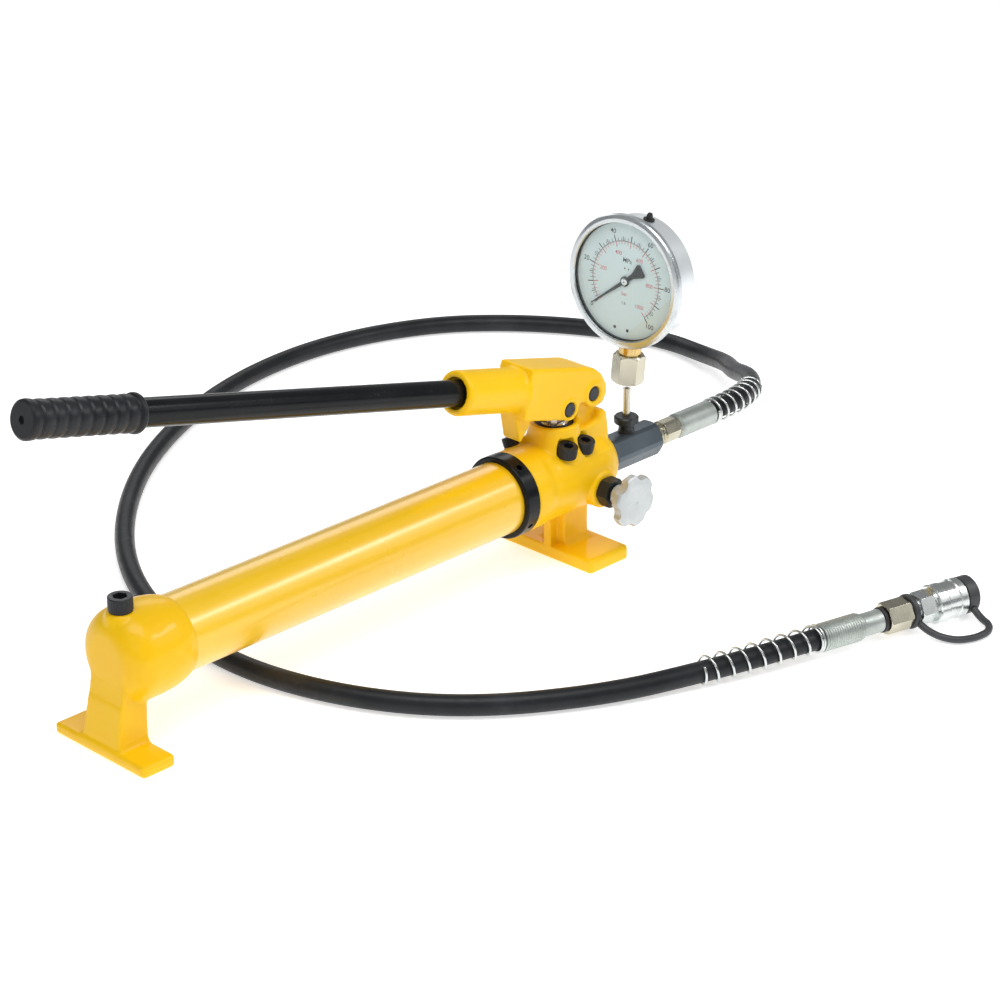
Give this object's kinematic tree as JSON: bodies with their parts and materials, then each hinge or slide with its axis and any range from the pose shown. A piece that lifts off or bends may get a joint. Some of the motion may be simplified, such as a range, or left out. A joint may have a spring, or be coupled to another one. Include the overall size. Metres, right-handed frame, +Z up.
{
  "type": "hydraulic hand pump",
  "caption": "Hand-operated hydraulic pump: horizontal tube reservoir on two cast feet, lever, release valve, dial pressure gauge and a long hose ending in a quick coupler.",
  "frame": {"origin": "centre of the front foot's base, on the floor", "axes": "+X along the reservoir from the rear foot to the outlet, -Y to the release-valve side, +Z up"},
  "size_m": [0.9496, 0.829, 0.288],
  "materials": {
    "yellow_paint": "gloss",
    "black_steel": "satin black oxide",
    "zinc_steel": "zinc plated, yellowish",
    "bright_steel": "polished",
    "gauge_steel": "satin stainless",
    "knob_alloy": "matt silver",
    "brass": "machined",
    "black_rubber": "satin",
    "grip_rubber": "semi-gloss",
    "seal_rubber": "matt",
    "dial_face": "matt pale grey-blue",
    "needle_black": "matt",
    "window": "clear",
    "mesh_steel": "mesh"
  },
  "bodies": {
    "pump": {"pump_head": "yellow_paint", "reservoir_tube": "yellow_paint", "rear_cap": "yellow_paint", "lock_ring": "black_steel", "filler_plug": "black_steel", "filler_washer": "seal_rubber", "tube_seals": "seal_rubber", "suction_pipe": "zinc_steel", "suction_strainer": "mesh_steel", "plunger_gland": "black_steel", "plunger_seal": "seal_rubber", "plunger_wiper": "seal_rubber", "suction_check_ball": "bright_steel", "delivery_check_ball": "bright_steel", "delivery_check_spring": "zinc_steel", "relief_valve_plugs": "black_steel", "relief_valve_springs": "zinc_steel", "relief_valve_balls": "bright_steel", "bleed_plug": "black_steel", "release_gland_nut": "black_steel", "release_seal": "seal_rubber", "release_ball": "bright_steel", "outlet_block": "black_steel", "outlet_ring": "black_steel", "gauge_adapter": "black_steel", "gauge_stem": "zinc_steel", "gauge_nut": "zinc_steel", "gauge_socket": "brass", "gauge_bezel": "gauge_steel", "gauge_glass": "window", "gauge_gasket": "seal_rubber", "gauge_dial": "dial_face", "gauge_case": "gauge_steel", "gauge_fill_plug": "seal_rubber", "bourdon_tube": "brass", "gauge_movement": "brass", "hose_nut": "zinc_steel", "hose_ferrule": "zinc_steel", "hose": "black_rubber", "hose_guard_spring": "bright_steel", "tool_guard_spring": "bright_steel", "tool_sleeve": "bright_steel", "tool_stem": "bright_steel", "tool_nut": "zinc_steel", "coupler_body": "bright_steel", "dust_cap_strap": "black_rubber", "tool_seal_ring": "seal_rubber"},
    "handle": {"handle_block": "yellow_paint", "handle_tube": "black_steel", "handle_grip": "grip_rubber", "fulcrum_pin": "black_steel", "plunger_pin": "black_steel", "pin_clips": "black_steel"},
    "plunger": {"plunger": "bright_steel"},
    "needle": {"gauge_needle": "needle_black"},
    "release_valve": {"release_knob": "knob_alloy", "release_spindle": "zinc_steel"},
    "coupler_sleeve": {"coupler_collar": "bright_steel"},
    "dust_cap": {"dust_cap": "black_rubber"}
  },
  "joints": [
    {"name": "handle_hinge", "type": "hinge", "parent": "pump", "child": "handle", "pos_m": [0.013, 0, 0.1391], "axis": [0, 1, 0], "range_deg": [-8, 35]},
    {"name": "plunger_slide", "type": "slide", "parent": "pump", "child": "plunger", "axis": [0, 0, 1], "range_m": [-0.0041, 0.0176]},
    {"name": "release_turn", "type": "hinge", "parent": "pump", "child": "release_valve", "pos_m": [0.01, -0.055, 0.0602], "axis": [0, -1, 0], "range_deg": [0, 540]},
    {"name": "needle_turn", "type": "hinge", "parent": "pump", "child": "needle", "pos_m": [0.0577, -0.00597, 0.22003], "axis": [0.9957, 0.0766, -0.0523], "range_deg": [0, 265]},
    {"name": "collar_turn", "type": "hinge", "parent": "pump", "child": "coupler_sleeve", "pos_m": [0.09697, -0.29977, 0.01608], "axis": [0.9672, -0.2539, 0.0119], "continuous": true},
    {"name": "cap_pull", "type": "slide", "parent": "pump", "child": "dust_cap", "axis": [0.9672, -0.2539, 0.0119], "range_m": [0, 0.02]}
  ],
  "couplings": [
    {"joint": "plunger_slide", "follows": "handle_hinge", "m_per_rad": 0.0284}
  ]
}
